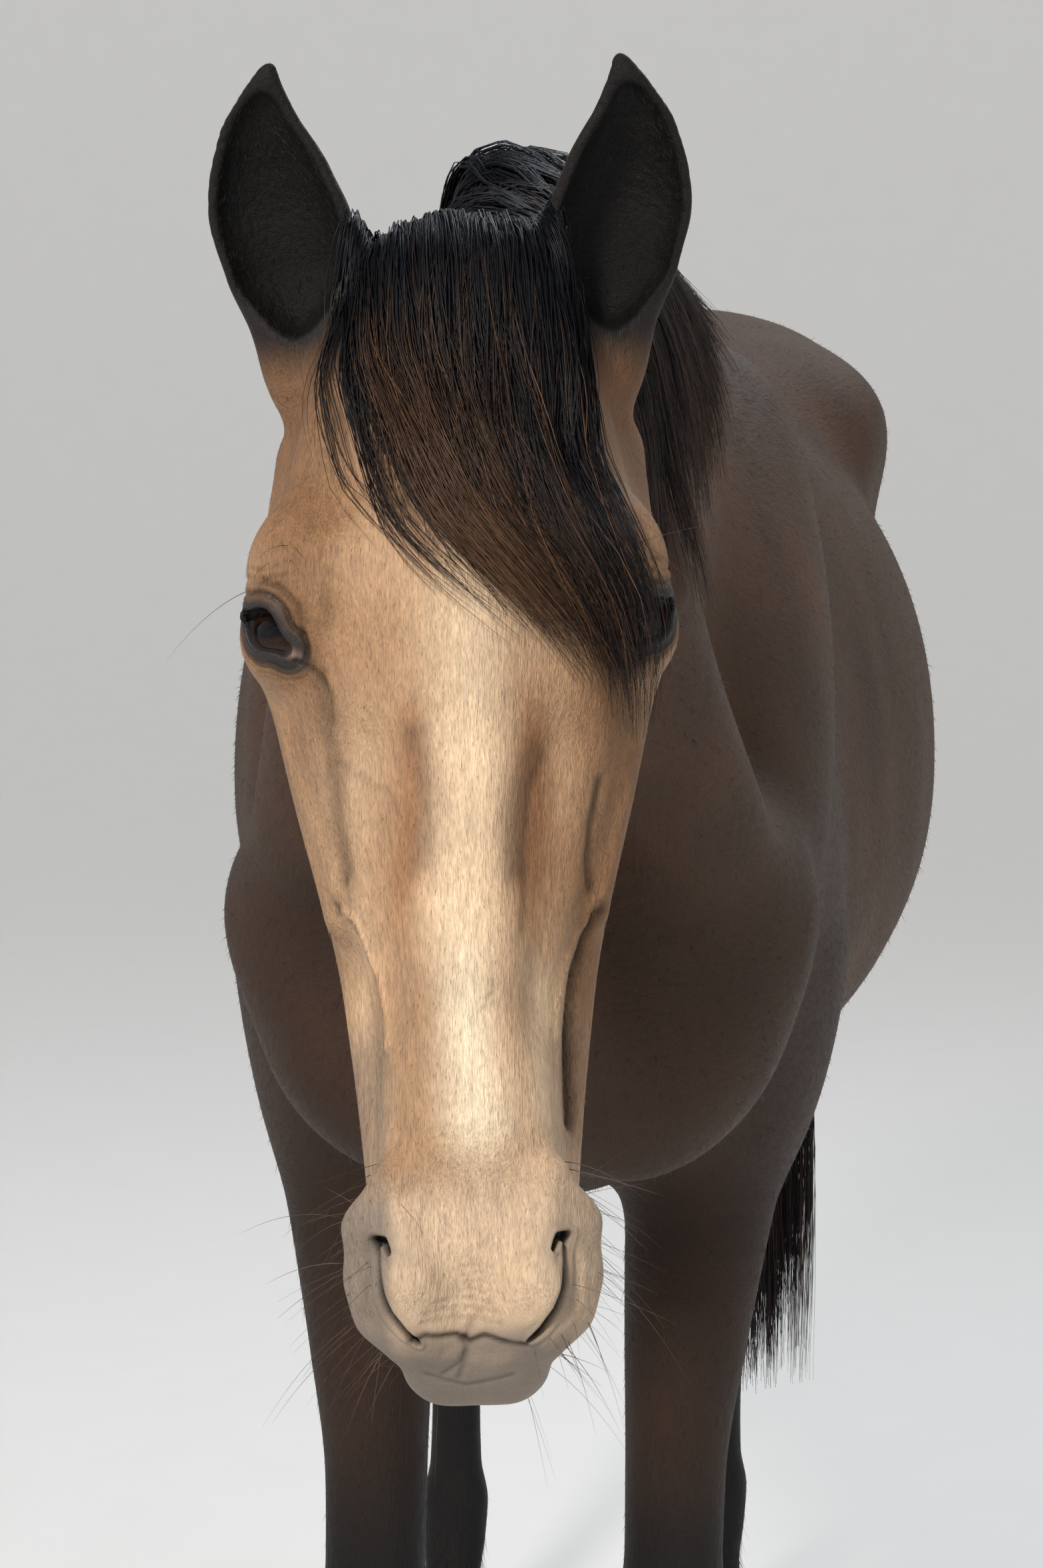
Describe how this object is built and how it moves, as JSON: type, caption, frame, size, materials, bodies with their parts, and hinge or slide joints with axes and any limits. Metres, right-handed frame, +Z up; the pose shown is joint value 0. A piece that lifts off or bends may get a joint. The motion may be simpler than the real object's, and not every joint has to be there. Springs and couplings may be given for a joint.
{
  "type": "andalusian horse",
  "caption": "Life-size Andalusian horse in a still stance, head lowered and ears pricked, with a long mane, forelock and tail.",
  "frame": {"origin": "bottom centre of the bounding box, on the plane that the hooves stand on", "axes": "+Z up; the horse faces -Y, with its length along Y; +X is its left side"},
  "size_m": [0.6497, 2.4315, 1.6191],
  "materials": {
    "coat": "short, sleek brown hair",
    "face_coat": "short, sleek tan hair",
    "dark_coat": "short, sleek near-black hair",
    "long_hair": "long, glossy near-black hair",
    "horn": "dark hoof horn",
    "eye": "wet, very dark brown eye"
  },
  "bodies": {
    "root": {"head": "face_coat", "neck": "coat", "torso": "coat", "tail": "long_hair", "ear_left": "dark_coat", "ear_right": "dark_coat", "eye_left": "eye", "eye_right": "eye", "foreleg_upper_left": "coat", "foreleg_upper_right": "coat", "foreleg_lower_left": "dark_coat", "foreleg_lower_right": "dark_coat", "hindleg_upper_left": "coat", "hindleg_upper_right": "coat", "hindleg_lower_left": "dark_coat", "hindleg_lower_right": "dark_coat", "hoof_fore_left": "horn", "hoof_fore_right": "horn", "hoof_hind_left": "horn", "hoof_hind_right": "horn"}
  },
  "joints": []
}
